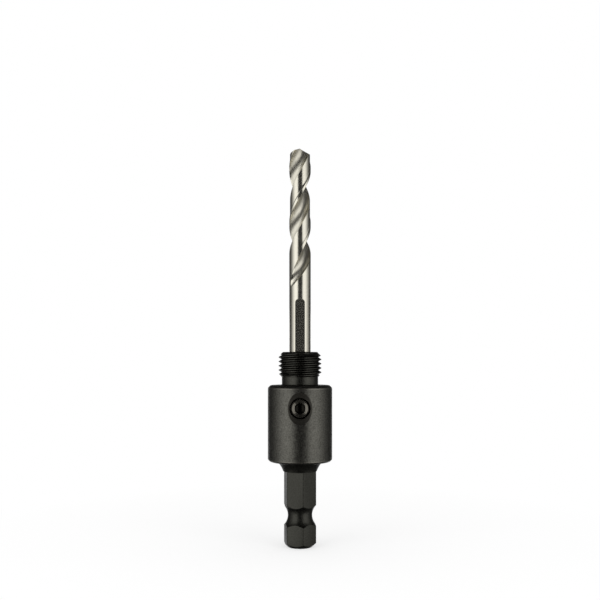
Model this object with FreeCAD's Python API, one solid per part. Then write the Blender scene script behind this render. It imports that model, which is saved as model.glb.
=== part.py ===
import FreeCAD, Part
import math
import os

from FreeCAD import Vector

# Hole saw arbor with its pilot drill and clamping screw.
# It stands on the end of its hex shank. The origin is the centre of that end face, +Z runs up the
# common axis to the drill's point, and the clamping screw faces -Y. Millimetres and degrees.

# Hex shank
hex_across_flats = 8.73
hex_corner_round = 0.3
hex_turn = 11.5
shank_length = 22.3
end_face_radius = 3.62
end_chamfer_height = 1.25
groove_height = 9.3
groove_floor_radius = 3.6
groove_arc_radius = 4.2

# Shoulder and round body
shoulder_height = 2.9
shoulder_top_radius = 6.85
shoulder_arc_radius = 7.5
shoulder_cover = 0.01
body_radius = 9.525
body_height = 22.5
body_bottom_chamfer = 0.6
body_top_chamfer = 0.8

# Neck and threaded nose, the thread as its outer cylinder
neck_radius = 5.38
neck_height = 2.5
neck_chamfer = 0.4
thread_radius = 6.35
thread_length = 7.3
thread_end_radius = 5.1

# Bore for the drill
bore_depth = 22.05
bore_point_angle = 118.0
bore_mouth_chamfer = 0.3
bore_clearance = 0.03

# Pilot drill
bit_radius = 3.175
bit_length = 82.55
bit_end_chamfer = 0.5
bit_seat_gap = 0.02
web_thickness = 0.85
web_taper = 0.02
flute_lead = 32.5
flute_phase_height = 62.5
flute_foot_height = 41.6
flute_exit_length = 16.0
flute_lip_angle = 60.0
flute_heel_angle = 36.0
margin_width = 0.6
relief_depth = 0.22
relief_foot_height = 53.5
relief_exit_length = 5.0
margin_reach_angle = 15.0
point_angle = 135.0
lip_relief_angle = 12.0
point_apex_offset = 1.0

# Clamping flat on the drill's shank
flat_length = 36.85
flat_depth = 0.335
flat_exit_radius = 2.0

# Clamping screw and its hole
screw_height_on_body = 16.0
screw_radius = 2.95
screw_recess = 1.665
screw_chamfer = 0.5
screw_clearance = 0.05
screw_seat_gap = 0.02
screw_hole_countersink_angle = 120.0
screw_hole_countersink_radius = 4.69
socket_across_flats = 3.0
socket_depth = 2.4
socket_mouth_radius = 2.1

# Room that a cutting shape has past the surface it cuts
overcut = 1.0

# Turning of the flute from one loft section to the next
section_turn = 30.0

# Heights and radii that follow from the sizes above
hex_corner_radius = hex_across_flats / 2 / math.cos(math.radians(30))
hex_corner_radius -= hex_corner_round * (1 / math.cos(math.radians(30)) - 1)
body_bottom = shank_length + shoulder_height
body_top = body_bottom + body_height
thread_bottom = body_top + neck_height
nose_top = thread_bottom + thread_length
bore_radius = bit_radius + bore_clearance
bore_wall_bottom = nose_top - bore_depth
bore_point_slope = 1 / math.tan(math.radians(bore_point_angle / 2))
bit_end_radius = bit_radius - bit_end_chamfer
bit_bottom = bore_wall_bottom - (bore_radius - bit_end_radius) * bore_point_slope + bit_seat_gap
bit_top = bit_bottom + bit_length
flat_y = -(bit_radius - flat_depth)
screw_height = body_bottom + screw_height_on_body
screw_inner_end = flat_y - screw_seat_gap
screw_length = body_radius - screw_recess + screw_inner_end
screw_hole_radius = screw_radius + screw_clearance
web_radius = web_thickness / 2


def polar(radius, angle, height=0.0):
    """Point at a radius and an angle about the axis."""
    turn = math.radians(angle)
    return Vector(radius * math.cos(turn), radius * math.sin(turn), height)


def arc_between(start, end, radius, bulge_side):
    """Arc of a radius from start to end, in the XZ plane, bulging to one side of the chord."""
    chord = end - start
    sagitta = radius - math.sqrt(radius ** 2 - (chord.Length / 2) ** 2)
    across = Vector(-chord.z, 0, chord.x).normalize()
    middle = (start + end) * 0.5 + across * (sagitta * bulge_side)
    return Part.Arc(start, middle, end).toShape()


def turned(edges):
    """Solid turned about the Z axis from a closed outline in the XZ plane."""
    outline = Part.Wire(Part.__sortEdges__(edges))
    return Part.Face(outline).revolve(Vector(0, 0, 0), Vector(0, 0, 1), 360)


def turned_points(points):
    """Solid turned about the Z axis from the corners (radius, height) of its outline."""
    corners = [Vector(radius, 0, height) for radius, height in points]
    return turned(Part.makePolygon(corners + corners[:1]).Edges)


def hex_prism(across_flats, height, turn):
    """Hexagonal prism on the XY plane, with a corner at the turn angle from the -Y axis."""
    corner_radius = across_flats / 2 / math.cos(math.radians(30))
    corners = [polar(corner_radius, turn - 90 + 60 * side) for side in range(7)]
    return Part.Face(Part.makePolygon(corners)).extrude(Vector(0, 0, height))


def hex_shank():
    """Hex bar with rounded corners, a turned detent groove and a chamfered end."""
    # The bar reaches up inside the shoulder, which covers its corners.
    bar = hex_prism(hex_across_flats, body_bottom, hex_turn)
    upright = [edge for edge in bar.Edges if abs(edge.Length - body_bottom) < 1e-6]
    bar = bar.makeFillet(hex_corner_round, upright)
    chamfer_slope = (hex_corner_radius - end_face_radius) / end_chamfer_height
    wide_radius = end_face_radius + chamfer_slope * body_bottom
    bar = bar.common(Part.makeCone(end_face_radius, wide_radius, body_bottom))
    return bar.cut(detent_groove())


def detent_groove():
    """Stock outside the round groove of the hex shank."""
    centre_radius = groove_floor_radius + groove_arc_radius
    bottom = Vector(centre_radius, 0, groove_height - groove_arc_radius)
    floor = Vector(groove_floor_radius, 0, groove_height)
    top = Vector(centre_radius, 0, groove_height + groove_arc_radius)
    # A spline turns into a surface with far fewer facets than an arc does.
    outline = Part.Arc(bottom, floor, top).toShape().toNurbs().Edges
    return turned(outline + [Part.makeLine(top, bottom)])


def turned_body():
    """Concave shoulder, round body, relieved neck and nose as one turned solid."""
    shoulder_foot = Vector(hex_corner_radius + shoulder_cover, 0, shank_length)
    shoulder_head = Vector(shoulder_top_radius, 0, body_bottom)
    corners = [
        shoulder_head,
        Vector(body_radius - body_bottom_chamfer, 0, body_bottom),
        Vector(body_radius, 0, body_bottom + body_bottom_chamfer),
        Vector(body_radius, 0, body_top - body_top_chamfer),
        Vector(body_radius - body_top_chamfer, 0, body_top),
        Vector(neck_radius + neck_chamfer, 0, body_top),
        Vector(neck_radius, 0, body_top + neck_chamfer),
        Vector(neck_radius, 0, thread_bottom - neck_chamfer),
        Vector(thread_radius, 0, thread_bottom - neck_chamfer + thread_radius - neck_radius),
        Vector(thread_radius, 0, nose_top - thread_radius + thread_end_radius),
        Vector(thread_end_radius, 0, nose_top),
        Vector(0, 0, nose_top),
        Vector(0, 0, shank_length),
        shoulder_foot,
    ]
    edges = [arc_between(shoulder_foot, shoulder_head, shoulder_arc_radius, 1)]
    edges += Part.makePolygon(corners).Edges
    return turned(edges)


def bit_bore():
    """Blind bore for the drill, with a drilled bottom and a chamfered mouth."""
    return turned_points([
        (0, bore_wall_bottom - bore_radius * bore_point_slope),
        (bore_radius, bore_wall_bottom),
        (bore_radius, nose_top - bore_mouth_chamfer),
        (bore_radius + bore_mouth_chamfer, nose_top),
        (bore_radius + bore_mouth_chamfer, nose_top + overcut),
        (0, nose_top + overcut),
    ])


def facing_front(shape):
    """Turns a shape made along +Z from the origin to lie along -Y at the screw's height."""
    shape.rotate(Vector(0, 0, 0), Vector(1, 0, 0), 90)
    shape.translate(Vector(0, 0, screw_height))
    return shape


def screw_hole():
    """Hole for the clamping screw, from the bore out to a countersink in the body's side."""
    slope = 1 / math.tan(math.radians(screw_hole_countersink_angle / 2))
    depth = (screw_hole_countersink_radius - screw_hole_radius) * slope
    mouth_radius = screw_hole_countersink_radius + overcut / slope
    return facing_front(turned_points([
        (0, 0),
        (screw_hole_radius, 0),
        (screw_hole_radius, body_radius - depth),
        (mouth_radius, body_radius + overcut),
        (0, body_radius + overcut),
    ]))


def arbor():
    """The one-piece arbor."""
    solid = hex_shank().fuse(turned_body())
    solid = solid.removeSplitter()
    return solid.cut([bit_bore(), screw_hole()])


def flute_turn(height):
    """Direction of the first flute's deepest line at a height over the drill's lower end."""
    return -90 + 360 * (height - flute_phase_height) / flute_lead


def web_growth(height):
    """How much the web has thickened on one side, from the point down to a height."""
    return web_taper * (bit_length - height) / 2


def wheel_lift(height, foot, length, depth):
    """How far a grinding wheel has left the drill, on its circular way out to the foot."""
    past = foot + length - height
    if past <= 0:
        return 0.0
    wheel_radius = (length ** 2 + depth ** 2) / (2 * depth)
    return wheel_radius - math.sqrt(wheel_radius ** 2 - past ** 2)


def outline_arc(centre_x, radius, first_angle, last_angle):
    """Arc about a centre on the X axis."""
    centre = Vector(centre_x, 0, 0)
    middle_angle = (first_angle + last_angle) / 2
    points = [centre + polar(radius, angle) for angle in (first_angle, middle_angle, last_angle)]
    return Part.Arc(*points).toShape()


def flute_side(corner_angle):
    """Centre and outer angle of the arc from the web to a land's corner at that angle."""
    corner_x = bit_radius * math.cos(math.radians(corner_angle))
    centre = (bit_radius ** 2 - web_radius ** 2) / (2 * (corner_x - web_radius))
    outside = bit_radius + overcut
    cosine = (outside ** 2 + 2 * centre * web_radius - web_radius ** 2) / (2 * outside * centre)
    return centre, math.degrees(math.acos(cosine))


def placed_section(edges, height, lift):
    """Closed section lifted off the web, turned to its place on the helix."""
    section = Part.Wire(Part.__sortEdges__(edges))
    section.translate(Vector(lift, 0, 0))
    section.rotate(Vector(0, 0, 0), Vector(0, 0, 1), flute_turn(height))
    section.translate(Vector(0, 0, bit_bottom + height))
    return section


def flute_section(height):
    """Flute across the drill: a flatter side to the cutting lip, a rounder one to the heel."""
    lip_centre, lip_angle = flute_side(flute_lip_angle)
    heel_centre, heel_angle = flute_side(flute_heel_angle)
    lip_end = polar(bit_radius + overcut, -lip_angle)
    heel_end = polar(bit_radius + overcut, heel_angle)
    lip_start_angle = math.degrees(math.atan2(lip_end.y, lip_end.x - lip_centre))
    heel_end_angle = math.degrees(math.atan2(heel_end.y, heel_end.x - heel_centre))
    edges = [
        outline_arc(lip_centre, lip_centre - web_radius, lip_start_angle, -180),
        outline_arc(heel_centre, heel_centre - web_radius, 180, heel_end_angle),
        outline_arc(0, bit_radius + overcut, heel_angle, -lip_angle),
    ]
    depth = bit_radius - web_radius - web_growth(flute_foot_height)
    lift = web_growth(height) + wheel_lift(height, flute_foot_height, flute_exit_length, depth)
    return placed_section(edges, height, lift)


def margin_section(height):
    """Band across the drill that holds one margin and reaches past the lip into the flute."""
    lip = 180 - flute_lip_angle
    first_angle = lip - math.degrees(margin_width / bit_radius)
    last_angle = lip + margin_reach_angle
    inside = bit_radius - 2 * relief_depth
    outside = bit_radius + 2 * overcut
    edges = [
        outline_arc(0, inside, first_angle, last_angle),
        Part.makeLine(polar(inside, last_angle), polar(outside, last_angle)),
        outline_arc(0, outside, last_angle, first_angle),
        Part.makeLine(polar(outside, first_angle), polar(inside, first_angle)),
    ]
    return placed_section(edges, height, 0.0)


def helical_cutter(section_at, foot):
    """Loft through turned sections from just below the foot to above the drill's point."""
    step = flute_lead * section_turn / 360
    lowest = foot - step / 2
    highest = bit_length + overcut
    count = math.ceil((highest - lowest) / step)
    heights = [lowest + (highest - lowest) * index / count for index in range(count + 1)]
    return Part.makeLoft([section_at(height) for height in heights], True, False)


def half_turn(shape):
    """Copy of a shape turned half a turn about the axis."""
    copy = shape.copy()
    copy.rotate(Vector(0, 0, 0), Vector(0, 0, 1), 180)
    return copy


def land_reliefs():
    """Ring ground off the lands, with the margins left standing and a cone as its lower end."""
    foot = bit_bottom + relief_foot_height
    top = bit_top + overcut / 2
    land_radius = bit_radius - relief_depth
    outside = bit_radius + overcut
    ring = turned_points([
        (bit_radius, foot),
        (land_radius, foot + relief_exit_length),
        (land_radius, top),
        (outside, top),
        (outside, foot),
    ])
    margin = helical_cutter(margin_section, relief_foot_height)
    return ring.cut([margin, half_turn(margin)])


def flank_cone():
    """Cone that one flank of the point is ground to, wide enough to hold the whole drill.

    Its apex lies behind the centre along the lip, and its axis leans back, so that the surface
    falls away behind the lip and two such flanks meet in a chisel edge.
    """
    slope = 1 / math.tan(math.radians(point_angle / 2))
    cone_height = 2 * bit_length
    cone = Part.makeCone(cone_height / slope, 0, cone_height)
    cone.translate(Vector(0, 0, -cone_height))
    cone.rotate(Vector(0, 0, 0), Vector(0, 1, 0), -lip_relief_angle)
    cone.translate(Vector(web_radius, point_apex_offset, 0))
    # The flank passes through the drill's own centre at its full length.
    axis = Part.makeLine(Vector(0, 0, -bit_length), Vector(0, 0, bit_length))
    cone.translate(Vector(0, 0, -axis.common(cone).BoundBox.ZMax))
    cone.rotate(Vector(0, 0, 0), Vector(0, 0, 1), flute_turn(bit_length))
    cone.translate(Vector(0, 0, bit_top))
    return cone


def flat_cutter():
    """Stock outside the clamping flat, with the wheel's round exit at its upper end."""
    exit_length = math.sqrt(flat_exit_radius ** 2 - (flat_exit_radius - flat_depth) ** 2)
    bottom = bit_bottom - overcut
    exit_start = bit_bottom + flat_length
    corner = Vector(0, flat_y, exit_start)
    exit_end = Vector(0, -bit_radius, exit_start + exit_length)
    half_way = math.asin(exit_length / flat_exit_radius) / 2
    exit_middle = Vector(0, flat_y - flat_exit_radius * (1 - math.cos(half_way)),
                         exit_start + flat_exit_radius * math.sin(half_way))
    outside = -bit_radius - overcut
    edges = [Part.Arc(corner, exit_middle, exit_end).toShape()]
    edges += Part.makePolygon([exit_end, Vector(0, outside, exit_end.z), Vector(0, outside, bottom),
                               Vector(0, flat_y, bottom), corner]).Edges
    side = Part.Face(Part.Wire(Part.__sortEdges__(edges)))
    side.translate(Vector(-bit_radius, 0, 0))
    return side.extrude(Vector(2 * bit_radius, 0, 0))


def pilot_bit():
    """Two-flute twist drill with a ground point, a chamfered lower end and a clamping flat."""
    blank = turned_points([
        (0, bit_bottom),
        (bit_end_radius, bit_bottom),
        (bit_radius, bit_bottom + bit_end_chamfer),
        (bit_radius, bit_top),
        (0, bit_top),
    ])
    flute = helical_cutter(flute_section, flute_foot_height)
    flank = flank_cone()
    solid = blank.common(flank).common(half_turn(flank))
    solid = solid.cut(flat_cutter())
    solid = solid.cut(land_reliefs())
    return solid.cut([flute, half_turn(flute)])


def set_screw():
    """Headless screw with a hex socket, its inner end on the drill's flat."""
    blank = turned_points([
        (0, 0),
        (screw_radius - screw_chamfer, 0),
        (screw_radius, screw_chamfer),
        (screw_radius, screw_length - screw_chamfer),
        (screw_radius - screw_chamfer, screw_length),
        (0, screw_length),
    ])
    socket_bottom = screw_length - socket_depth
    socket = hex_prism(socket_across_flats, socket_depth + overcut, 0)
    socket.translate(Vector(0, 0, socket_bottom))
    floor_radius = socket_across_flats / 2
    mouth_depth = socket_mouth_radius - floor_radius
    hollow = turned_points([
        (0, socket_bottom - floor_radius * bore_point_slope),
        (floor_radius, socket_bottom),
        (floor_radius, screw_length - mouth_depth),
        (socket_mouth_radius, screw_length),
        (socket_mouth_radius, screw_length + overcut),
        (0, screw_length + overcut),
    ])
    solid = facing_front(blank.cut([socket, hollow]))
    solid.translate(Vector(0, screw_inner_end, 0))
    return solid


def write_part(name, shape):
    """Writes one piece as one solid."""
    solid = shape.Solids[0]
    solid.exportStep(os.path.join("parts", name + ".step"))
    print(name, "solids", len(shape.Solids), "valid", shape.isValid(), "volume", round(solid.Volume, 2))


os.makedirs("parts", exist_ok=True)
write_part("arbor", arbor())
write_part("pilot_bit", pilot_bit())
write_part("set_screw", set_screw())
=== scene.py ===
import math

import bmesh
import bpy
from mathutils import Matrix, Vector


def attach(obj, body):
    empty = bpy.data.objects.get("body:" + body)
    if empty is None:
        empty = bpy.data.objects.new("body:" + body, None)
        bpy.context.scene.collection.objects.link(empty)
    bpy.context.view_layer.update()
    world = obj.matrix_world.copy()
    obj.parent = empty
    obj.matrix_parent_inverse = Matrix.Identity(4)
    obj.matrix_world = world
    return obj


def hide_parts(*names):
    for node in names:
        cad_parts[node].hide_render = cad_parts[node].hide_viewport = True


# Hole saw arbor with its pilot drill and clamping screw.
# Shapes are made in millimetres and turned to metres when a piece is placed. Angles are in degrees.

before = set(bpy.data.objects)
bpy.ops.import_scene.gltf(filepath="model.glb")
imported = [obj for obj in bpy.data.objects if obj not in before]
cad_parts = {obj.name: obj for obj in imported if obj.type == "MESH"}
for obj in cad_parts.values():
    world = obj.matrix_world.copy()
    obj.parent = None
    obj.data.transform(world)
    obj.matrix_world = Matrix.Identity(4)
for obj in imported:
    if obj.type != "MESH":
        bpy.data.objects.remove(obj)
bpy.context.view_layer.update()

TO_METRES = 0.001
WELD = 1e-4
SEAM_WELD = 5 * WELD
OVERCUT = 1.0
TURNED_STEPS = 192
SMALL_TURNED_STEPS = 96

# Hex shank
HEX_FLATS = 8.73
HEX_CORNER_ROUND = 0.3
HEX_TURN = 11.5
SHANK_LENGTH = 22.3
END_FACE_RADIUS = 3.62
END_CHAMFER_HEIGHT = 1.25
GROOVE_HEIGHT = 9.3
GROOVE_FLOOR_RADIUS = 3.6
GROOVE_ARC_RADIUS = 4.2
GROOVE_HALF_SPAN = 60
GROOVE_STEPS = 40
HEX_EDGE_WIDTH = 0.1
HEX_EDGE_ANGLE = 28

# Shoulder, body and neck
SHOULDER_TOP_RADIUS = 6.85
SHOULDER_ARC_RADIUS = 7.5
SHOULDER_COVER = 0.01
SHOULDER_STEPS = 16
BODY_RADIUS = 9.525
BODY_BOTTOM = 25.2
BODY_TOP = 47.7
BODY_BOTTOM_CHAMFER = 0.6
BODY_TOP_CHAMFER = 0.8
BODY_EDGE_ROUND = 0.2
NECK_RADIUS = 5.38
NECK_FILLET = 0.4
NECK_FILLET_STEPS = 6

# Threaded nose, 20 turns to the inch
THREAD_PITCH = 1.27
THREAD_CREST_RADIUS = 6.34
THREAD_ROOT_RADIUS = 5.55
THREAD_FOOT = 49.95
THREAD_CREST_HEIGHT = 52.78
THREAD_RUNOUT_TURN = 15
CREST_SHARE = 0.125
NOSE_TOP = 57.5
NOSE_END_RADIUS = 5.1

# Bore for the drill
BORE_RADIUS = 3.205
BORE_WALL_BOTTOM = 35.45
BORE_MOUTH_CHAMFER = 0.3
BORE_POINT_SLOPE = 1 / math.tan(math.radians(59))

# Clamping screw and its tapped hole
SCREW_HEIGHT = 41.2
SCREW_RADIUS = 2.95
SCREW_ROOT_RADIUS = 2.5
SCREW_PITCH = 1.0
SCREW_INNER_END = 2.86
SCREW_OUTER_END = 7.86
SCREW_CHAMFER = 0.35
SCREW_CREST_HEIGHT = 0.4
SCREW_HOLE_RADIUS = 3.0
SCREW_HOLE_ROOT_RADIUS = 3.3
SCREW_HOLE_END_DROP = 0.05
SCREW_HOLE_PAST_MOUTH = 0.2
COUNTERSINK_OVERLAP = 0.3
COUNTERSINK_RADIUS = 4.69
COUNTERSINK_SLOPE = math.tan(math.radians(30))
SOCKET_FLATS = 3.0
SOCKET_DEPTH = 2.4
SOCKET_CORNER_ROUND = 0.05
SOCKET_LEDGE = 0.02
SOCKET_MOUTH_RADIUS = 2.3
SOCKET_MOUTH_SLOPE = math.tan(math.radians(30))

# Pilot drill
BIT_RADIUS = 3.175
BIT_BOTTOM = 35.15
BIT_LENGTH = 82.55
BIT_END_CHAMFER = 0.5
SHANK_RING_HEIGHT = 20.0
WEB_RADIUS = 0.425
WEB_TAPER = 0.02
FLUTE_LEAD = 32.5
FLUTE_PHASE_HEIGHT = 62.5
FLUTE_FOOT = 41.6
FLUTE_EXIT_LENGTH = 16.0
FLUTE_LIP_ANGLE = 60.0
FLUTE_HEEL_ANGLE = 36.0
MARGIN_WIDTH = 0.6
RELIEF_DEPTH = 0.22
RELIEF_RISE_WIDTH = 0.6
SECTION_SPACING = 0.3
FLUTE_STEPS = 18
LAND_STEPS = 30
RISE_STEPS = 8
MARGIN_STEPS = 5
RELIEF_FOOT = 53.5
RELIEF_EXIT_LENGTH = 5.0
POINT_ANGLE = 135.0
LIP_RELIEF_ANGLE = 12.0
POINT_APEX_OFFSET = 1.0
FLANK_CONE_LENGTH = 1.5 * BIT_LENGTH
FLANK_CONE_STEPS = 360
APEX_HALVINGS = 60
FLAT_LENGTH = 36.85
FLAT_DEPTH = 0.335
FLAT_EXIT_RADIUS = 2.0
FLAT_EXIT_TURN = 60
FLAT_EXIT_STEPS = 16


# The camera of the photograph: level, at the height of the nose, close to the object

camera_data = bpy.data.cameras.new("camera")
camera_data.lens = 47.58
camera_data.sensor_width = 36
camera_data.shift_y = 0.1008
camera_data.clip_start = 0.01
camera = bpy.data.objects.new("camera", camera_data)
camera.location = (0, -0.235, 0.055)
camera.rotation_euler = (math.radians(90), 0, 0)
bpy.context.scene.collection.objects.link(camera)
bpy.context.scene.camera = camera


# Small tools

def colour(code):
    """Linear colour of an sRGB hex value."""
    parts = [int(code[index:index + 2], 16) / 255 for index in (1, 3, 5)]
    return [c / 12.92 if c <= 0.04045 else ((c + 0.055) / 1.055) ** 2.4 for c in parts] + [1]


def add(tree, kind, inputs=None, **settings):
    """Adds a node with its settings. An input is a value, or a node or socket to link from."""
    node = tree.nodes.new(kind)
    for name, value in settings.items():
        setattr(node, name, value)
    for key, value in (inputs or {}).items():
        if isinstance(value, bpy.types.Node):
            value = value.outputs[0]
        if isinstance(value, bpy.types.NodeSocket):
            tree.links.new(value, node.inputs[key])
        else:
            node.inputs[key].default_value = value
    return node


def linked(name, mesh):
    """A new object with that mesh, in the scene."""
    obj = bpy.data.objects.new(name, mesh)
    bpy.context.scene.collection.objects.link(obj)
    return obj


def plain_mesh(obj):
    """Turns an object's modifiers into a plain mesh."""
    depsgraph = bpy.context.evaluated_depsgraph_get()
    mesh = bpy.data.meshes.new_from_object(obj.evaluated_get(depsgraph), depsgraph=depsgraph)
    obj.modifiers.clear()
    obj.data = mesh
    return obj


def combined(obj, tool, operation):
    """Cuts, joins or crosses an object with a tool, which is then gone."""
    modifier = obj.modifiers.new("combine", "BOOLEAN")
    modifier.operation = operation
    modifier.solver = "EXACT"
    modifier.object = tool
    plain_mesh(obj)
    bpy.data.objects.remove(tool)
    return obj


def skin(name, rings, closed_ends=True):
    """Closed surface through rings of equally many points, from the lowest to the highest."""
    build = bmesh.new()
    rows = [[build.verts.new(point) for point in ring] for ring in rings]
    count = len(rings[0])
    for lower, upper in zip(rows, rows[1:]):
        for index in range(count):
            after = (index + 1) % count
            build.faces.new((lower[index], lower[after], upper[after], upper[index]))
    if closed_ends:
        build.faces.new(rows[0][::-1])
        build.faces.new(rows[-1])
    bmesh.ops.remove_doubles(build, verts=build.verts, dist=WELD)
    mesh = bpy.data.meshes.new(name)
    build.to_mesh(mesh)
    build.free()
    return linked(name, mesh)


def turned(name, profile, steps=TURNED_STEPS, closed_ends=True):
    """Solid of revolution about Z from (radius, height) pairs that run upwards outside."""
    angles = [2 * math.pi * step / steps for step in range(steps)]
    rings = [[(radius * math.cos(a), radius * math.sin(a), height) for a in angles]
             for radius, height in profile]
    return skin(name, rings, closed_ends)


def prism(name, outline, height):
    """Upright prism on the XY plane."""
    return skin(name, [[(x, y, 0) for x, y in outline], [(x, y, height) for x, y in outline]])


def arc(centre, radius, first, last, steps):
    """Points of an arc in the plane, angles in degrees."""
    turns = [math.radians(first + (last - first) * step / steps) for step in range(steps + 1)]
    return [(centre[0] + radius * math.cos(t), centre[1] + radius * math.sin(t)) for t in turns]


def hex_outline(across_flats, corner_round, turn, steps=6):
    """Hexagon with rounded corners, one corner at the turn angle from the -Y axis."""
    points = []
    centre_distance = (across_flats / 2 - corner_round) / math.cos(math.radians(30))
    for side in range(6):
        direction = turn - 90 + 60 * side
        centre = [centre_distance * f(math.radians(direction)) for f in (math.cos, math.sin)]
        points += arc(centre, corner_round, direction - 30, direction + 30, steps)
    return points


def facing_front(obj, height):
    """Turns a shape made along +Z to lie along -Y at a height."""
    obj.data.transform(Matrix.Translation((0, 0, height))
                       @ Matrix.Rotation(math.radians(90), 4, "X"))
    return obj


# Geometry trees: the thread, and the twist of the drill

def new_tree(name, inputs):
    """Geometry tree with named inputs, each a socket type and a value."""
    tree = bpy.data.node_groups.new(name, "GeometryNodeTree")
    for label, (kind, value) in inputs.items():
        socket = tree.interface.new_socket(label, in_out="INPUT", socket_type=kind)
        if value is not None:
            socket.default_value = value
    tree.interface.new_socket("Geometry", in_out="OUTPUT", socket_type="NodeSocketGeometry")
    return tree, tree.nodes.new("NodeGroupInput").outputs


def end_tree(tree, geometry, material):
    """Realises what the tree made and gives it its material."""
    real = add(tree, "GeometryNodeRealizeInstances", {0: geometry})
    painted = add(tree, "GeometryNodeSetMaterial", {"Geometry": real, "Material": material})
    add(tree, "NodeGroupOutput", {0: painted})


def grown(obj, tree, values):
    """Runs a geometry tree on an object and keeps the result as its plain mesh."""
    modifier = obj.modifiers.new("shape", "NODES")
    modifier.node_group = tree
    for item in tree.interface.items_tree:
        if item.item_type == "SOCKET" and item.in_out == "INPUT" and item.name in values:
            modifier[item.identifier] = values[item.name]
    return plain_mesh(obj)


def thread_tree():
    """A thread as one helical sheet, cut off by a cone at its foot and one at its top."""
    number = "NodeSocketFloat"
    tree, given = new_tree("thread", {
        "Around": ("NodeSocketInt", TURNED_STEPS),
        "Rows per turn": (number, 16.0),
        "Pitch": (number, 1.0),
        "Crest radius": (number, 1.0),
        "Root radius": (number, 1.0),
        "Foot height": (number, 0.0),
        "Foot radius": (number, 1.0),
        "Top height": (number, 1.0),
        "Top radius": (number, 1.0),
        "Crest height": (number, 0.0),
        "Material": ("NodeSocketMaterial", None),
    })
    step = add(tree, "ShaderNodeMath", {0: given["Pitch"], 1: given["Rows per turn"]},
               operation="DIVIDE")
    reach = add(tree, "ShaderNodeMath", {0: given["Top height"], 1: given["Foot height"]},
                operation="SUBTRACT")
    reach = add(tree, "ShaderNodeMath", {0: reach, 1: given["Pitch"]}, operation="ADD")
    rows = add(tree, "ShaderNodeMath", {0: reach, 1: step}, operation="DIVIDE")
    rows = add(tree, "ShaderNodeMath", {0: rows}, operation="CEIL")
    row_points = add(tree, "ShaderNodeMath", {0: rows, 1: 1.0}, operation="ADD")
    round_points = add(tree, "ShaderNodeMath", {0: given["Around"], 1: 1.0}, operation="ADD")
    grid = add(tree, "GeometryNodeMeshGrid", {
        "Size X": 1.0, "Size Y": 1.0, "Vertices X": round_points, "Vertices Y": row_points})
    place = add(tree, "ShaderNodeSeparateXYZ", {0: add(tree, "GeometryNodeInputPosition")})
    around = add(tree, "ShaderNodeMath", {0: place.outputs[0], 1: 0.5}, operation="ADD")
    row = add(tree, "ShaderNodeMath", {0: place.outputs[1], 1: 0.5}, operation="ADD")
    row = add(tree, "ShaderNodeMath", {0: row, 1: rows}, operation="MULTIPLY")
    climb = add(tree, "ShaderNodeMath", {0: row, 1: step}, operation="MULTIPLY")
    climb = add(tree, "ShaderNodeMath", {0: climb, 1: given["Pitch"]}, operation="SUBTRACT")
    climb = add(tree, "ShaderNodeMath", {0: climb, 1: given["Foot height"]}, operation="ADD")
    lead = add(tree, "ShaderNodeMath", {0: around, 1: given["Pitch"]}, operation="MULTIPLY")
    height = add(tree, "ShaderNodeMath", {0: climb, 1: lead}, operation="ADD")
    height = add(tree, "ShaderNodeMath", {0: height, 1: given["Foot height"]}, operation="MAXIMUM")
    height = add(tree, "ShaderNodeMath", {0: height, 1: given["Top height"]}, operation="MINIMUM")
    # The profile repeats along the climb: flat crest, straight flanks, flat root.
    phase = add(tree, "ShaderNodeMath", {0: height, 1: lead}, operation="SUBTRACT")
    phase = add(tree, "ShaderNodeMath", {0: phase, 1: given["Crest height"]}, operation="SUBTRACT")
    phase = add(tree, "ShaderNodeMath", {0: phase, 1: given["Pitch"]}, operation="DIVIDE")
    half = add(tree, "ShaderNodeMath", {0: phase, 1: 0.5}, operation="PINGPONG")
    away = add(tree, "ShaderNodeMath", {0: half, 1: 2.0}, operation="MULTIPLY")
    flank = add(tree, "ShaderNodeMapRange", {
        "Value": away, "From Min": CREST_SHARE, "From Max": 1 - CREST_SHARE,
        "To Min": given["Crest radius"], "To Max": given["Root radius"]})
    foot_cone = add(tree, "ShaderNodeMath", {0: height, 1: given["Foot height"]},
                    operation="SUBTRACT")
    foot_cone = add(tree, "ShaderNodeMath", {0: foot_cone, 1: given["Foot radius"]},
                    operation="ADD")
    top_cone = add(tree, "ShaderNodeMath", {0: given["Top height"], 1: height},
                   operation="SUBTRACT")
    top_cone = add(tree, "ShaderNodeMath", {0: top_cone, 1: given["Top radius"]}, operation="ADD")
    radius = add(tree, "ShaderNodeMath", {0: flank, 1: foot_cone}, operation="MINIMUM")
    radius = add(tree, "ShaderNodeMath", {0: radius, 1: top_cone}, operation="MINIMUM")
    angle = add(tree, "ShaderNodeMath", {0: around, 1: 2 * math.pi}, operation="MULTIPLY")
    cosine = add(tree, "ShaderNodeMath", {0: angle}, operation="COSINE")
    sine = add(tree, "ShaderNodeMath", {0: angle}, operation="SINE")
    along_x = add(tree, "ShaderNodeMath", {0: cosine, 1: radius}, operation="MULTIPLY")
    along_y = add(tree, "ShaderNodeMath", {0: sine, 1: radius}, operation="MULTIPLY")
    point = add(tree, "ShaderNodeCombineXYZ", {0: along_x, 1: along_y, 2: height})
    wound = add(tree, "GeometryNodeSetPosition", {"Geometry": grid, "Position": point})
    closed = add(tree, "GeometryNodeMergeByDistance", {"Geometry": wound, "Distance": WELD})
    end_tree(tree, closed, given["Material"])
    return tree


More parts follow.
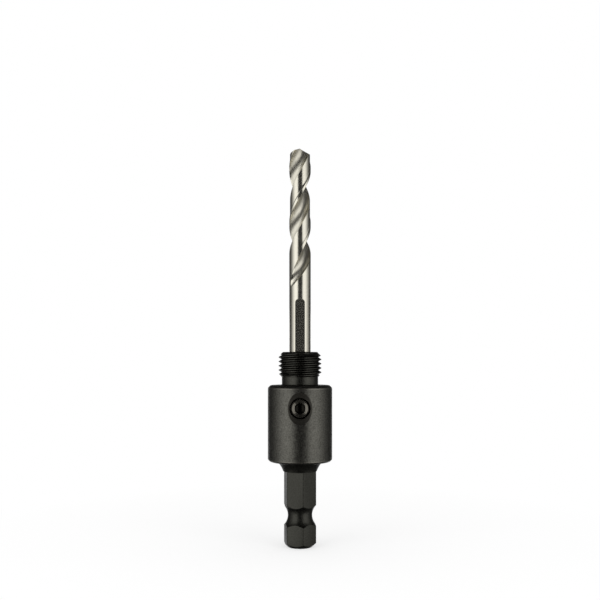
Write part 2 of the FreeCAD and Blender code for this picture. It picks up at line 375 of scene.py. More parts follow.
def twist_tree():
    """Turns every point about Z in proportion to its height, above a foot height."""
    number = "NodeSocketFloat"
    tree, given = new_tree("twist", {
        "Straight shape": ("NodeSocketGeometry", None),
        "Lead": (number, 1.0),
        "Phase height": (number, 0.0),
        "Foot height": (number, 0.0),
        "Material": ("NodeSocketMaterial", None),
    })
    place = add(tree, "GeometryNodeInputPosition")
    height = add(tree, "ShaderNodeSeparateXYZ", {0: place}).outputs[2]
    height = add(tree, "ShaderNodeMath", {0: height, 1: given["Foot height"]}, operation="MAXIMUM")
    height = add(tree, "ShaderNodeMath", {0: height, 1: given["Phase height"]},
                 operation="SUBTRACT")
    turns = add(tree, "ShaderNodeMath", {0: height, 1: given["Lead"]}, operation="DIVIDE")
    angle = add(tree, "ShaderNodeMath", {0: turns, 1: 2 * math.pi}, operation="MULTIPLY")
    point = add(tree, "ShaderNodeVectorRotate", {"Vector": place, "Angle": angle},
                rotation_type="Z_AXIS")
    twisted = add(tree, "GeometryNodeSetPosition", {
        "Geometry": given["Straight shape"], "Position": point})
    end_tree(tree, twisted, given["Material"])
    return tree


# Materials

# What lies this far inside the body's surfaces is the screw's hole, and above it the nose; both are
# painted with shade
CUT_DEPTH = 0.03
CUT_FROM_ENDS = 1.0
NOSE_ABOVE_BODY = 0.05

# Share of the darker, painted shade on each, and of the painted highlight with wear at the edges
NOSE_PAINTED_SHADE = 0.6
SHANK_PAINTED_SHADE = 0.75
CUT_ROUGHNESS = 0.6
EDGE_GLINT_AND_WEAR_WIDTH = 0.25
EDGE_GLINT_AND_WEAR = 0.4

# Where the coarser flutes start, inside the relieved land, and where the socket's painted shade
# ends
FLUTE_BLEND_FROM = 0.2
FLUTE_BLEND_TO = 0.02
SOCKET_SHADE_BLEND = 0.1


def new_material(name):
    """Material with its principled shader."""
    material = bpy.data.materials.new(name)
    material.use_nodes = True
    return material, material.node_tree, material.node_tree.nodes["Principled BSDF"]


def axis_distance(tree, place):
    """Distance from the common axis."""
    across = add(tree, "ShaderNodeMapping", {"Vector": place, "Scale": (1.0, 1.0, 0.0)})
    return add(tree, "ShaderNodeVectorMath", {0: across}, operation="LENGTH").outputs["Value"]


def finish_metal(tree, shader, tone, rough, bump):
    """Gives a metal's shader its colour, roughness and bump."""
    shader.inputs["Metallic"].default_value = 1.0
    tree.links.new(tone.outputs[2], shader.inputs["Base Color"])
    tree.links.new(rough.outputs[0], shader.inputs["Roughness"])
    tree.links.new(bump.outputs[0], shader.inputs["Normal"])


def black_oxide_steel():
    """Turned and milled steel with a black oxide finish: dark, half matt and faintly warm.

    The oxide grows as fine crystals, which the eye gets as a speckle, and the tool's feed marks
    stay under it as faint rings.
    """
    material, tree, shader = new_material("black_oxide_turned_steel")
    place = add(tree, "ShaderNodeTexCoord").outputs["Object"]
    # Crystals are far finer than this; 0.4 mm is as fine as the picture can show.
    speckle = add(tree, "ShaderNodeTexNoise", {"Vector": place, "Scale": 2600.0, "Detail": 4.0})
    speckle = add(tree, "ShaderNodeMapRange", {
        "Value": speckle, "From Min": 0.35, "From Max": 0.65})
    rings_place = add(tree, "ShaderNodeMapping", {"Vector": place, "Scale": (60.0, 60.0, 5000.0)})
    rings = add(tree, "ShaderNodeTexNoise", {"Vector": rings_place, "Scale": 1.0, "Detail": 2.0})
    tone = add(tree, "ShaderNodeMix", {
        "Factor": speckle, 6: colour("#494843"), 7: colour("#66655f")}, data_type="RGBA")
    # Painted shade: the screw's hole with its countersink, and the neck, the nose and the shank,
    # get a darker tone for the shade and dim reflections that fall on them.
    height = add(tree, "ShaderNodeSeparateXYZ", {0: place}).outputs[2]
    radius = axis_distance(tree, place)
    cut = add(tree, "ShaderNodeMath", {0: radius, 1: (BODY_RADIUS - CUT_DEPTH) * TO_METRES},
              operation="LESS_THAN")
    above = add(tree, "ShaderNodeMath", {0: height, 1: (BODY_BOTTOM + CUT_FROM_ENDS) * TO_METRES},
                operation="GREATER_THAN")
    under = add(tree, "ShaderNodeMath", {0: height, 1: (BODY_TOP - CUT_FROM_ENDS) * TO_METRES},
                operation="LESS_THAN")
    cut = add(tree, "ShaderNodeMath", {0: cut, 1: above}, operation="MULTIPLY")
    cut = add(tree, "ShaderNodeMath", {0: cut, 1: under}, operation="MULTIPLY")
    nose = add(tree, "ShaderNodeMath", {0: height, 1: (BODY_TOP + NOSE_ABOVE_BODY) * TO_METRES},
               operation="GREATER_THAN")
    nose = add(tree, "ShaderNodeMath", {0: nose, 1: NOSE_PAINTED_SHADE}, operation="MULTIPLY")
    shank = add(tree, "ShaderNodeMath", {0: height, 1: BODY_BOTTOM * TO_METRES},
                operation="LESS_THAN")
    shank = add(tree, "ShaderNodeMath", {0: shank, 1: SHANK_PAINTED_SHADE}, operation="MULTIPLY")
    painted_shade = add(tree, "ShaderNodeMath", {0: nose, 1: shank}, operation="MAXIMUM")
    # Painted shade on the neck, the nose and the shank
    tone = add(tree, "ShaderNodeMix", {"Factor": painted_shade, 6: tone.outputs[2], 7: colour("#2e2e2a")},
               data_type="RGBA")
    # Painted shade in the screw's hole and its countersink
    tone = add(tree, "ShaderNodeMix", {"Factor": cut, 6: tone.outputs[2], 7: colour("#45433e")},
               data_type="RGBA")
    # Painted highlight with wear: the round body's two edges get a brighter ring for the glints
    # they catch, and for handling wear.
    for edge in (BODY_BOTTOM + BODY_BOTTOM_CHAMFER, BODY_TOP - BODY_TOP_CHAMFER):
        glint_and_wear = add(tree, "ShaderNodeMath", {
            0: height, 1: edge * TO_METRES, 2: EDGE_GLINT_AND_WEAR_WIDTH * TO_METRES}, operation="COMPARE")
        glint_and_wear = add(tree, "ShaderNodeMath", {0: glint_and_wear, 1: EDGE_GLINT_AND_WEAR}, operation="MULTIPLY")
        tone = add(tree, "ShaderNodeMix", {
            "Factor": glint_and_wear, 6: tone.outputs[2], 7: colour("#86827a")}, data_type="RGBA")
    rough = add(tree, "ShaderNodeMapRange", {"Value": speckle, "To Min": 0.31, "To Max": 0.41})
    rough = add(tree, "ShaderNodeMix", {"Factor": cut, 2: rough, 3: CUT_ROUGHNESS},
                data_type="FLOAT")
    bump = add(tree, "ShaderNodeBump", {"Height": rings, "Strength": 0.12, "Distance": 0.00004})
    bump = add(tree, "ShaderNodeBump", {"Height": speckle, "Normal": bump, "Strength": 0.12,
                                        "Distance": 0.00004})
    finish_metal(tree, shader, tone, rough, bump)
    return material


def ground_high_speed_steel():
    """Bright high-speed steel, ground all over: light, warm grey, with fine wheel marks.

    Above the shank the marks follow the flutes, and on the shank they run round it.
    """
    material, tree, shader = new_material("ground_high_speed_steel")
    place = add(tree, "ShaderNodeTexCoord").outputs["Object"]
    height = add(tree, "ShaderNodeSeparateXYZ", {0: place}).outputs[2]
    angle = add(tree, "ShaderNodeMath", {0: height, 1: -2 * math.pi / (FLUTE_LEAD * TO_METRES)},
                operation="MULTIPLY")
    straight = add(tree, "ShaderNodeVectorRotate", {"Vector": place, "Angle": angle},
                   rotation_type="Z_AXIS")
    # Wheel marks are some 0.02 mm apart; 0.12 mm is as fine as the picture can show.
    along_place = add(tree, "ShaderNodeMapping", {
        "Vector": straight, "Scale": (8000.0, 8000.0, 120.0)})
    along = add(tree, "ShaderNodeTexNoise", {"Vector": along_place, "Scale": 1.0, "Detail": 2.0})
    around_place = add(tree, "ShaderNodeMapping", {
        "Vector": place, "Scale": (150.0, 150.0, 8000.0)})
    around = add(tree, "ShaderNodeTexNoise", {"Vector": around_place, "Scale": 1.0, "Detail": 2.0})
    fluted = add(tree, "ShaderNodeMapRange", {
        "Value": height, "From Min": (BIT_BOTTOM + FLUTE_FOOT) * TO_METRES,
        "From Max": (BIT_BOTTOM + FLUTE_FOOT + OVERCUT) * TO_METRES})
    marks = add(tree, "ShaderNodeMix", {"Factor": fluted, 2: around, 3: along}, data_type="FLOAT")
    tone = add(tree, "ShaderNodeMix", {"Factor": marks, 6: colour("#c9c5b6"), 7: colour("#dfdbce")},
               data_type="RGBA")
    rough = add(tree, "ShaderNodeMapRange", {"Value": marks, "From Min": 0.3, "From Max": 0.7,
                                             "To Min": 0.16, "To Max": 0.26})
    # The flutes are ground coarser than the outside.
    radius = axis_distance(tree, place)
    inside = add(tree, "ShaderNodeMapRange", {
        "Value": radius, "From Min": (BIT_RADIUS - RELIEF_DEPTH - FLUTE_BLEND_FROM) * TO_METRES,
        "From Max": (BIT_RADIUS - RELIEF_DEPTH - FLUTE_BLEND_TO) * TO_METRES,
        "To Min": 0.17, "To Max": 0.0})
    inside = add(tree, "ShaderNodeMath", {0: inside, 1: fluted}, operation="MULTIPLY")
    rough = add(tree, "ShaderNodeMath", {0: rough, 1: inside}, operation="ADD")
    bump = add(tree, "ShaderNodeBump", {"Height": marks, "Strength": 0.08, "Distance": 0.00002})
    finish_metal(tree, shader, tone, rough, bump)
    return material


def black_alloy_steel():
    """Hardened alloy steel, black from its heat treatment and oiled: smooth, with clear glints."""
    material, tree, shader = new_material("black_hardened_alloy_steel")
    place = add(tree, "ShaderNodeTexCoord").outputs["Object"]
    grain = add(tree, "ShaderNodeTexNoise", {"Vector": place, "Scale": 3000.0, "Detail": 3.0})
    tone = add(tree, "ShaderNodeMix", {"Factor": grain, 6: colour("#57544e"), 7: colour("#747168")},
               data_type="RGBA")
    rough = add(tree, "ShaderNodeMapRange", {"Value": grain, "From Min": 0.3, "From Max": 0.7,
                                             "To Min": 0.24, "To Max": 0.34})
    # Painted shade: the socket's walls and bottom are painted near black for the shade inside the
    # socket.
    centre = add(tree, "ShaderNodeMapping", {
        "Vector": place, "Location": (0, 0, -SCREW_HEIGHT * TO_METRES), "Scale": (1.0, 0.0, 1.0)})
    radius = add(tree, "ShaderNodeVectorMath", {0: centre}, operation="LENGTH").outputs["Value"]
    inside = add(tree, "ShaderNodeMapRange", {
        "Value": radius, "From Min": SOCKET_FLATS / 2 * TO_METRES,
        "From Max": (SOCKET_FLATS / 2 + SOCKET_SHADE_BLEND) * TO_METRES, "To Min": 1.0, "To Max": 0.0})
    # Painted shade in the socket
    tone = add(tree, "ShaderNodeMix", {"Factor": inside, 6: tone.outputs[2], 7: colour("#1c1b18")},
               data_type="RGBA")
    bump = add(tree, "ShaderNodeBump", {"Height": grain, "Strength": 0.12, "Distance": 0.00003})
    finish_metal(tree, shader, tone, rough, bump)
    return material


OXIDE = black_oxide_steel()
GROUND_STEEL = ground_high_speed_steel()
SCREW_STEEL = black_alloy_steel()
THREAD = thread_tree()
TWIST = twist_tree()


# The arbor

def hex_corner_radius():
    """How far the shank's rounded corners reach from the axis."""
    stretch = 1 / math.cos(math.radians(30))
    return HEX_FLATS / 2 * stretch - HEX_CORNER_ROUND * (stretch - 1)


def hex_shank():
    """Hex bar with rounded corners, crossed with its turned outline and soft at its edges."""
    outline = hex_outline(HEX_FLATS, HEX_CORNER_ROUND, HEX_TURN)
    bar = prism("hex_shank", outline, BODY_BOTTOM - OVERCUT / 2)
    slope = (hex_corner_radius() - END_FACE_RADIUS) / END_CHAMFER_HEIGHT
    profile = [
        (END_FACE_RADIUS - slope * OVERCUT, -OVERCUT),
        (END_FACE_RADIUS + slope * (END_CHAMFER_HEIGHT + OVERCUT), END_CHAMFER_HEIGHT + OVERCUT),
    ]
    centre = (GROOVE_FLOOR_RADIUS + GROOVE_ARC_RADIUS, GROOVE_HEIGHT)
    profile += arc(centre, GROOVE_ARC_RADIUS, 180 + GROOVE_HALF_SPAN, 180 - GROOVE_HALF_SPAN,
                   GROOVE_STEPS)
    profile.append((profile[-1][0], BODY_BOTTOM + OVERCUT))
    combined(bar, turned("outline", profile), "INTERSECT")
    modifier = bar.modifiers.new("soft_edges", "BEVEL")
    modifier.width = HEX_EDGE_WIDTH
    modifier.segments = 2
    modifier.limit_method = "ANGLE"
    modifier.angle_limit = math.radians(HEX_EDGE_ANGLE)
    return plain_mesh(bar)


def arbor():
    """One turned surface from the shoulder to the bore, with the hex shank and the screw's hole."""
    foot = Vector((hex_corner_radius() + SHOULDER_COVER, SHANK_LENGTH))
    head = Vector((SHOULDER_TOP_RADIUS, BODY_BOTTOM))
    chord = head - foot
    rise = math.sqrt(SHOULDER_ARC_RADIUS ** 2 - (chord.length / 2) ** 2)
    across = Vector((chord.y, -chord.x)).normalized()
    centre = (foot + head) / 2 + across * rise
    first, last = [math.degrees(math.atan2(point.y - centre.y, point.x - centre.x)) % 360
                   for point in (foot, head)]
    low, high = BODY_BOTTOM_CHAMFER, BODY_TOP_CHAMFER
    soft = BODY_EDGE_ROUND
    profile = [(0, SHANK_LENGTH)]
    profile += arc(centre, SHOULDER_ARC_RADIUS, first, last, SHOULDER_STEPS)
    profile += [
        (BODY_RADIUS - low - soft, BODY_BOTTOM),
        (BODY_RADIUS - low + soft / 2, BODY_BOTTOM + soft / 2),
        (BODY_RADIUS - soft / 2, BODY_BOTTOM + low - soft / 2),
        (BODY_RADIUS, BODY_BOTTOM + low + soft),
        (BODY_RADIUS, BODY_TOP - high - soft),
        (BODY_RADIUS - soft / 2, BODY_TOP - high + soft / 2),
        (BODY_RADIUS - high + soft / 2, BODY_TOP - soft / 2),
        (BODY_RADIUS - high - soft, BODY_TOP),
    ]
    fillet_foot = (NECK_RADIUS + NECK_FILLET, BODY_TOP + NECK_FILLET)
    profile += arc(fillet_foot, NECK_FILLET, 270, 180, NECK_FILLET_STEPS)
    fillet_top = (NECK_RADIUS + NECK_FILLET, THREAD_FOOT + NECK_FILLET / 4)
    neck_end = arc(fillet_top, NECK_FILLET, 180, 180 - THREAD_RUNOUT_TURN, NECK_FILLET_STEPS // 2)
    profile += neck_end
    outside = turned("arbor", profile, closed_ends=False)
    foot_radius, foot_height = neck_end[-1]
    thread = grown(linked("thread", bpy.data.meshes.new("thread")), THREAD, {
        "Pitch": THREAD_PITCH, "Crest radius": THREAD_CREST_RADIUS,
        "Root radius": THREAD_ROOT_RADIUS, "Foot height": foot_height,
        "Foot radius": foot_radius, "Top height": NOSE_TOP, "Top radius": NOSE_END_RADIUS,
        "Crest height": THREAD_CREST_HEIGHT, "Material": OXIDE})
    mouth = BORE_RADIUS + BORE_MOUTH_CHAMFER
    inside = turned("bore", [
        (NOSE_END_RADIUS, NOSE_TOP),
        (mouth, NOSE_TOP),
        (BORE_RADIUS, NOSE_TOP - BORE_MOUTH_CHAMFER),
        (BORE_RADIUS, BORE_WALL_BOTTOM),
        (0, BORE_WALL_BOTTOM - BORE_RADIUS * BORE_POINT_SLOPE),
    ], closed_ends=False)
    build = bmesh.new()
    for part in (outside, thread, inside):
        build.from_mesh(part.data)
    bmesh.ops.remove_doubles(build, verts=build.verts, dist=SEAM_WELD)
    bmesh.ops.recalc_face_normals(build, faces=build.faces)
    build.to_mesh(outside.data)
    build.free()
    bpy.data.objects.remove(thread)
    bpy.data.objects.remove(inside)
    combined(outside, hex_shank(), "UNION")
    return combined(outside, screw_hole(), "DIFFERENCE")


def screw_hole():
    """Tapped hole with its countersink, as the shape that is cut out."""
    depth = (COUNTERSINK_RADIUS - SCREW_HOLE_RADIUS) * COUNTERSINK_SLOPE
    mouth = BODY_RADIUS - depth
    end_radius = SCREW_HOLE_RADIUS - SCREW_HOLE_END_DROP
    hole = grown(linked("screw_hole", bpy.data.meshes.new("screw_hole")), THREAD, {
        "Around": SMALL_TURNED_STEPS, "Pitch": SCREW_PITCH, "Crest radius": SCREW_HOLE_ROOT_RADIUS,
        "Root radius": SCREW_HOLE_RADIUS, "Foot height": 0.0, "Foot radius": end_radius,
        "Top height": mouth + SCREW_HOLE_PAST_MOUTH, "Top radius": end_radius,
        "Crest height": SCREW_CREST_HEIGHT, "Material": OXIDE})
    closed_rims(hole)
    cone_radius = COUNTERSINK_RADIUS + OVERCUT / COUNTERSINK_SLOPE
    sink = turned("countersink", [
        (SCREW_HOLE_RADIUS - COUNTERSINK_OVERLAP, mouth - COUNTERSINK_OVERLAP * COUNTERSINK_SLOPE),
        (cone_radius, BODY_RADIUS + OVERCUT),
    ])
    combined(hole, sink, "UNION")
    return facing_front(hole, SCREW_HEIGHT)


def closed_rims(obj):
    """Closes the open rims of a sheet with flat faces."""
    build = bmesh.new()
    build.from_mesh(obj.data)
    bmesh.ops.holes_fill(build, edges=[edge for edge in build.edges if edge.is_boundary], sides=0)
    bmesh.ops.recalc_face_normals(build, faces=build.faces)
    build.to_mesh(obj.data)
    build.free()
    return obj


# The pilot drill

def flute_centre(corner_angle):
    """Centre of the arc from the web to a land's corner at that angle."""
    corner_x = BIT_RADIUS * math.cos(math.radians(corner_angle))
    return (BIT_RADIUS ** 2 - WEB_RADIUS ** 2) / (2 * (corner_x - WEB_RADIUS))


def wheel_lift(height, foot, length, depth):
    """How far a grinding wheel has left the drill, on its circular way out to the foot."""
    past = foot + length - height
    if past <= 0:
        return 0.0
    wheel_radius = (length ** 2 + depth ** 2) / (2 * depth)
    return wheel_radius - math.sqrt(wheel_radius ** 2 - past ** 2)


def flute_edge(centre, lift, outside):
    """Angle at which a flute's side, moved out by the lift, meets an outside radius."""
    radius = centre - WEB_RADIUS
    middle = centre + lift
    cosine = (outside ** 2 + middle ** 2 - radius ** 2) / (2 * outside * middle)
    return math.degrees(math.acos(min(1.0, cosine)))


def on_circle(radius, angle):
    """Point in the plane at a radius and an angle in degrees."""
    return Vector((radius * math.cos(math.radians(angle)), radius * math.sin(math.radians(angle))))


def flute_arc(centre, lift, outside, side):
    """Points from the web to an outside radius along a flute's lip side, -1, or heel side, 1."""
    middle = centre + lift
    corner = on_circle(outside, flute_edge(centre, lift, outside))
    last = math.degrees(math.atan2(corner.y, corner.x - middle))
    points = arc((middle, 0), centre - WEB_RADIUS, 180, last, FLUTE_STEPS)
    return [Vector((x, side * y)) for x, y in points]


def half_section(height):
    """Points round half of the drill, from the cutting lip through the flute to the next margin."""
    web_growth = WEB_TAPER * (BIT_LENGTH - height) / 2
    foot_growth = WEB_TAPER * (BIT_LENGTH - FLUTE_FOOT) / 2
    depth = BIT_RADIUS - WEB_RADIUS - foot_growth
    lift = BIT_RADIUS - WEB_RADIUS
    if height > FLUTE_FOOT:
        lift = web_growth + wheel_lift(height, FLUTE_FOOT, FLUTE_EXIT_LENGTH, depth)
    lip_centre, heel_centre = flute_centre(FLUTE_LIP_ANGLE), flute_centre(FLUTE_HEEL_ANGLE)
    lip = flute_edge(lip_centre, lift, BIT_RADIUS)
    relief = RELIEF_DEPTH * min(1.0, max(0.0, (height - RELIEF_FOOT) / RELIEF_EXIT_LENGTH))
    margin_start = 180 - FLUTE_LIP_ANGLE - math.degrees(MARGIN_WIDTH / BIT_RADIUS)
    land_radius = BIT_RADIUS - relief
    # Each side is an arc from the web to its corner; the lip's corner is sharp and the heel's is
    # cut back to the relieved land, which rises to the margin in a hollow.
    points = flute_arc(lip_centre, lift, BIT_RADIUS, -1)[::-1]
    points += flute_arc(heel_centre, lift, land_radius, 1)[1:]
    heel = math.degrees(math.atan2(points[-1].y, points[-1].x))
    rise_start = margin_start - math.degrees(RELIEF_RISE_WIDTH / BIT_RADIUS)
    for step in range(1, LAND_STEPS):
        points.append(on_circle(land_radius, heel + (rise_start - heel) * step / LAND_STEPS))
    for step in range(RISE_STEPS):
        share = step / RISE_STEPS
        rise = relief * (1 - math.sqrt(1 - share ** 2))
        angle = rise_start + (margin_start - rise_start) * share
        points.append(on_circle(land_radius + rise, angle))
    for step in range(MARGIN_STEPS):
        angle = margin_start + (180 - lip - margin_start) * step / MARGIN_STEPS
        points.append(on_circle(BIT_RADIUS, angle))
    return points


def bit_section(height):
    """Points round the straight, untwisted drill at a height over its lower end."""
    half = half_section(height)
    return [(side * x, side * y, BIT_BOTTOM + height) for side in (1, -1) for x, y in half]


def flank_cone():
    """Cone that one flank of the point is ground to."""
    half_angle = math.radians(POINT_ANGLE / 2)
    slope = 1 / math.tan(half_angle)
    # Where the drill's axis meets the tilted cone, found by halving a stretch that holds it.
    tilt = Matrix.Rotation(math.radians(-LIP_RELIEF_ANGLE), 4, "Y")
    place = Matrix.Translation((WEB_RADIUS, POINT_APEX_OFFSET, 0)) @ tilt
    back = place.inverted()
    low, high = -BIT_RADIUS * 4, BIT_RADIUS * 4
    for _ in range(APEX_HALVINGS):
        middle = (low + high) / 2
        point = back @ Vector((0, 0, middle))
        inside = point.z < -math.hypot(point.x, point.y) * slope
        low, high = (middle, high) if inside else (low, middle)
    profile = [(FLANK_CONE_LENGTH / slope, -FLANK_CONE_LENGTH), (0, 0)]
    cone = closed_rims(turned("flank", profile, FLANK_CONE_STEPS, closed_ends=False))
    turn = -90 + 360 * (BIT_LENGTH - FLUTE_PHASE_HEIGHT) / FLUTE_LEAD
    cone.data.transform(Matrix.Translation((0, 0, BIT_BOTTOM + BIT_LENGTH))
                        @ Matrix.Rotation(math.radians(turn), 4, "Z")
                        @ Matrix.Translation((0, 0, -low)) @ place)
    return cone


def flat_cutter():
    """Stock outside the clamping flat, with the wheel's round exit at its upper end."""
    flat_y = -(BIT_RADIUS - FLAT_DEPTH)
    exit_start = BIT_BOTTOM + FLAT_LENGTH
    side = [(-BIT_RADIUS - OVERCUT, BIT_BOTTOM - OVERCUT), (flat_y, BIT_BOTTOM - OVERCUT)]
    exit_centre = (flat_y - FLAT_EXIT_RADIUS, exit_start)
    side += arc(exit_centre, FLAT_EXIT_RADIUS, 0, FLAT_EXIT_TURN, FLAT_EXIT_STEPS)
    side.append((-BIT_RADIUS - OVERCUT, side[-1][1]))
    width = BIT_RADIUS + OVERCUT
    rings = [[(x, y, z) for y, z in side] for x in (-width, width)]
    return skin("flat_cutter", rings)


def pilot_bit():
    """Twist drill: a straight fluted bar that a geometry tree twists, then ground and flatted."""
    end_radius = BIT_RADIUS - BIT_END_CHAMFER
    heights = [BIT_END_CHAMFER, SHANK_RING_HEIGHT, FLUTE_FOOT - 10 * WELD]
    fluted_length = BIT_LENGTH + OVERCUT - FLUTE_FOOT
    count = math.ceil(fluted_length / SECTION_SPACING)
    heights += [FLUTE_FOOT + fluted_length * index / count for index in range(count + 1)]
    rings = [bit_section(height) for height in heights]
    foot = [(x * end_radius / BIT_RADIUS, y * end_radius / BIT_RADIUS, BIT_BOTTOM)
            for x, y, z in rings[0]]
    bit = skin("pilot_bit", [foot] + rings)
    grown(bit, TWIST, {"Lead": FLUTE_LEAD, "Phase height": BIT_BOTTOM + FLUTE_PHASE_HEIGHT,
                       "Foot height": BIT_BOTTOM + FLUTE_FOOT, "Material": GROUND_STEEL})
    bit.data.transform(Matrix.Rotation(math.radians(-90), 4, "Z"))
    flank = flank_cone()
    other = linked("other_flank", flank.data.copy())
    other.data.transform(Matrix.Rotation(math.pi, 4, "Z"))
    combined(bit, flank, "INTERSECT")
    combined(bit, other, "INTERSECT")
    return combined(bit, flat_cutter(), "DIFFERENCE")


# The clamping screw

def set_screw():
    """Headless screw with a hex socket."""
    screw = grown(linked("set_screw", bpy.data.meshes.new("set_screw")), THREAD, {
        "Around": SMALL_TURNED_STEPS, "Pitch": SCREW_PITCH, "Crest radius": SCREW_RADIUS,
        "Root radius": SCREW_ROOT_RADIUS, "Foot height": SCREW_INNER_END,
        "Foot radius": SCREW_RADIUS - SCREW_CHAMFER, "Top height": SCREW_OUTER_END,
        "Top radius": SCREW_RADIUS - SCREW_CHAMFER, "Crest height": SCREW_CREST_HEIGHT,
        "Material": SCREW_STEEL})
    closed_rims(screw)
    outline = hex_outline(SOCKET_FLATS, SOCKET_CORNER_ROUND, 0)
    socket = prism("socket", outline, SOCKET_DEPTH + OVERCUT)
    socket.data.transform(Matrix.Translation((0, 0, SCREW_OUTER_END - SOCKET_DEPTH)))
    floor_radius = SOCKET_FLATS / 2
    mouth_depth = (SOCKET_MOUTH_RADIUS - floor_radius) * SOCKET_MOUTH_SLOPE
    hollow = turned("hollow", [
        (0, SCREW_OUTER_END - SOCKET_DEPTH - floor_radius * BORE_POINT_SLOPE),
        (floor_radius - SOCKET_LEDGE, SCREW_OUTER_END - SOCKET_DEPTH),
        (floor_radius - SOCKET_LEDGE,
         SCREW_OUTER_END - mouth_depth - SOCKET_LEDGE * SOCKET_MOUTH_SLOPE),
        (SOCKET_MOUTH_RADIUS + OVERCUT, SCREW_OUTER_END + OVERCUT * SOCKET_MOUTH_SLOPE),
    ], steps=SMALL_TURNED_STEPS)
    combined(screw, socket, "DIFFERENCE")
    combined(screw, hollow, "DIFFERENCE")
    return facing_front(screw, SCREW_HEIGHT)


# Placing the pieces

def placed(obj, name, node, material, sharp_angle):
    """Brings a piece to metres, smooths it, and lets it stand for its CAD node."""
    obj.data.transform(Matrix.Scale(TO_METRES, 4))
    obj.name = name
    obj.data.materials.clear()
    obj.data.materials.append(material)
    obj.data.polygons.foreach_set("material_index", [0] * len(obj.data.polygons))
    obj.data.polygons.foreach_set("use_smooth", [True] * len(obj.data.polygons))
    obj.data.set_sharp_from_angle(angle=math.radians(sharp_angle))
    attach(obj, node)
    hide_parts(node)


# Edges sharper than this many degrees stay crisp. The drill's relief lines are shallower steps.
TURNED_CRISP_ANGLE = 25
GROUND_CRISP_ANGLE = 15

placed(arbor(), "arbor_turned", "arbor", OXIDE, TURNED_CRISP_ANGLE)
placed(pilot_bit(), "twist_drill", "pilot_bit", GROUND_STEEL,
       GROUND_CRISP_ANGLE)
placed(set_screw(), "hex_socket_screw", "set_screw", SCREW_STEEL,
       TURNED_CRISP_ANGLE)


# Floor, cards and lights, in metres

# Reflections see past the paper into a dark pit, so that what looks down stays dim.
LAMP_DISTANCE = 0.25
LAMP_TOP = 0.36
LAMP_RADIANCE = 1.4
PIT_DEPTH = 0.2
WALL_DISTANCE = 0.3
WALL_TOP = 0.225
PIT_LIGHT = 0.07
BACKDROP_LIGHT = 0.8
BACKDROP_DISTANCE = 0.28
BACKDROP_TOP = 0.085
BACKDROP_SIDE = 152
CEILING_LIGHT = 0.05
CENTRE = 0.001
PAPER_NEAR = 0.02
PAPER_FAR = 0.12
PAPER_NEAR_WHITE = 0.6
FLOOR_REACH = 3
CARD_STEPS = 24
SOFTBOX_HALF_ANGLE = 20

# Light of the wall by direction, in degrees from -Y to either side
WALL_LIGHT = [
    (22, 0.04), (29, 1.4), (55, 1.45), (66, 1.2), (80, 0.8), (94, 0.42), (110, 0.16), (125, 0.07),
    (180, 0.06),
]
WALL_TURN = 2.0
WALL_RIGHT_SHARE = 0.93
WALL_BLEND = 0.02


def lit_card(name, strength):
    """Card that sends out an even light, for the object to reflect."""
    material, tree, _ = new_material(name)
    glow = add(tree, "ShaderNodeEmission", {"Color": (1, 1, 1, 1), "Strength": strength})
    tree.links.new(glow.outputs[0], tree.nodes["Material Output"].inputs["Surface"])
    material.cycles.emission_sampling = "NONE"
    return material


def floor_material():
    """Matt white paper that keeps the object's shadow and goes over into the white background."""
    material, tree, shader = new_material("matt_white_paper")
    shader.inputs["Base Color"].default_value = colour("#f4f4f4")
    shader.inputs["Roughness"].default_value = 0.9
    white = add(tree, "ShaderNodeEmission", {"Color": (1, 1, 1, 1), "Strength": 1.0})
    place = add(tree, "ShaderNodeTexCoord").outputs["Object"]
    distance = add(tree, "ShaderNodeVectorMath", {0: place}, operation="LENGTH").outputs["Value"]
    share = add(tree, "ShaderNodeMapRange", {
        "Value": distance, "From Min": PAPER_NEAR, "From Max": PAPER_FAR,
        "To Min": PAPER_NEAR_WHITE, "To Max": 1.0})
    seen = add(tree, "ShaderNodeLightPath").outputs["Is Camera Ray"]
    share = add(tree, "ShaderNodeMath", {0: share, 1: seen}, operation="MULTIPLY")
    mixed = add(tree, "ShaderNodeMixShader", {0: share, 1: shader, 2: white})
    tree.links.new(mixed.outputs[0], tree.nodes["Material Output"].inputs["Surface"])
    return material


def wall_cloth():
    """White cloth round the set, bright beside the camera and falling off to the sides.

    Bright metal gets its gradients from it, and its dark lines from the strip behind the camera,
    which stays black.
    """
    material, tree, _ = new_material("studio_wall_cloth")
    place = add(tree, "ShaderNodeTexCoord").outputs["Object"]
    place = add(tree, "ShaderNodeSeparateXYZ", {0: place}).outputs
    front = add(tree, "ShaderNodeMath", {0: place[1], 1: -1.0}, operation="MULTIPLY")
    direction = add(tree, "ShaderNodeMath", {0: place[0], 1: front}, operation="ARCTAN2")
    direction = add(tree, "ShaderNodeMath", {0: direction, 1: math.radians(WALL_TURN)},
                    operation="SUBTRACT")
    direction = add(tree, "ShaderNodeMath", {0: direction}, operation="ABSOLUTE")
    share = add(tree, "ShaderNodeMapRange", {"Value": direction, "From Max": math.pi})
    ramp = add(tree, "ShaderNodeValToRGB", {0: share})
    brightest = max(radiance for _, radiance in WALL_LIGHT)
    for index, (degrees, radiance) in enumerate(WALL_LIGHT):
        stops = ramp.color_ramp.elements
        stop = stops[index] if index < 2 else stops.new(degrees / 180)
        stop.position = degrees / 180
        stop.color = [radiance / brightest] * 3 + [1]
    # The right side is a little weaker than the left.
    strength = add(tree, "ShaderNodeMapRange", {
        "Value": place[0], "From Min": -WALL_BLEND, "From Max": WALL_BLEND, "To Min": brightest,
        "To Max": brightest * WALL_RIGHT_SHARE})
    glow = add(tree, "ShaderNodeEmission", {"Color": ramp, "Strength": strength})
    tree.links.new(glow.outputs[0], tree.nodes["Material Output"].inputs["Surface"])
    material.cycles.emission_sampling = "NONE"
    return material


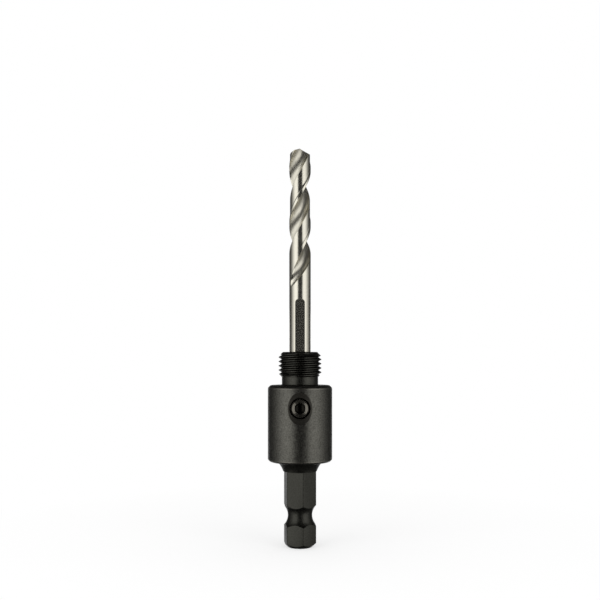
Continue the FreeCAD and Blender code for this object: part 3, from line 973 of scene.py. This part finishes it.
def sheet(name, rows, material):
    """Open sheet through rows of equally many points, part of the studio."""
    build = bmesh.new()
    grid = [[build.verts.new(point) for point in row] for row in rows]
    for lower, upper in zip(grid, grid[1:]):
        for index in range(len(lower) - 1):
            build.faces.new((lower[index], lower[index + 1], upper[index + 1], upper[index]))
    mesh = bpy.data.meshes.new(name)
    build.to_mesh(mesh)
    build.free()
    mesh.materials.append(material)
    obj = linked(name, mesh)
    return obj


def reflection_card(name, rings, first, last, material):
    """Studio card that only reflections see, through (distance, height) pairs.

    It reaches over the directions from first to last, which count from -Y round to +X.
    """
    turns = [math.radians(first + (last - first) * step / CARD_STEPS)
             for step in range(CARD_STEPS + 1)]
    rows = [[(distance * math.sin(t), -distance * math.cos(t), height) for t in turns]
            for distance, height in rings]
    card = sheet(name, rows, material)
    card.visible_camera = False
    card.visible_diffuse = False
    card.visible_shadow = False
    return card


def softbox(name, direction):
    """Soft lamp beside the camera, which lights the paper; reflections see the wall instead."""
    data = bpy.data.lights.new(name, "AREA")
    data.shape = "RECTANGLE"
    data.size = 2 * LAMP_DISTANCE * math.tan(math.radians(SOFTBOX_HALF_ANGLE))
    data.size_y = LAMP_TOP
    data.energy = LAMP_RADIANCE * math.pi * data.size * data.size_y
    lamp = bpy.data.objects.new(name, data)
    turn = math.radians(direction)
    lamp.location = (LAMP_DISTANCE * math.sin(turn), -LAMP_DISTANCE * math.cos(turn),
                     LAMP_TOP / 2)
    lamp.rotation_euler = (math.radians(90), 0, turn)
    lamp.visible_camera = False
    lamp.visible_glossy = False
    bpy.context.scene.collection.objects.link(lamp)


floor_rows = [[(-FLOOR_REACH, y, 0), (FLOOR_REACH, y, 0)] for y in (-FLOOR_REACH, FLOOR_REACH)]
floor = sheet("floor", floor_rows, floor_material())
floor.visible_glossy = False
reflection_card("pit", [(CENTRE, -PIT_DEPTH), (WALL_DISTANCE, -PIT_DEPTH)], 0, 360,
                lit_card("grey_pit_card", PIT_LIGHT))
reflection_card("wall", [(WALL_DISTANCE, -PIT_DEPTH), (WALL_DISTANCE, WALL_TOP)], 0, 360,
                wall_cloth())
reflection_card("ceiling", [(CENTRE, WALL_TOP), (WALL_DISTANCE, WALL_TOP)], 0, 360,
                lit_card("grey_ceiling_card", CEILING_LIGHT))
reflection_card("backdrop", [(BACKDROP_DISTANCE, -PIT_DEPTH), (BACKDROP_DISTANCE, BACKDROP_TOP)],
                WALL_TURN + BACKDROP_SIDE, WALL_TURN + 360 - BACKDROP_SIDE,
                lit_card("white_backdrop", BACKDROP_LIGHT))
softbox("softbox_left", -49)
softbox("softbox_right", 44)

world = bpy.data.worlds.new("studio")
bpy.context.scene.world = world
world.use_nodes = True
sky = world.node_tree
background = sky.nodes["Background"]
path = add(sky, "ShaderNodeLightPath")
shown = add(sky, "ShaderNodeMath", {
    0: path.outputs["Is Camera Ray"], 1: path.outputs["Is Glossy Ray"]}, operation="MAXIMUM")
shown = add(sky, "ShaderNodeMath", {0: shown, 1: path.outputs["Is Transmission Ray"]},
            operation="MAXIMUM")
strength = add(sky, "ShaderNodeMapRange", {"Value": shown, "To Min": 0.9, "To Max": 1.0})
background.inputs["Color"].default_value = (1, 1, 1, 1)
sky.links.new(strength.outputs[0], background.inputs["Strength"])

bpy.context.scene.view_settings.view_transform = "Standard"
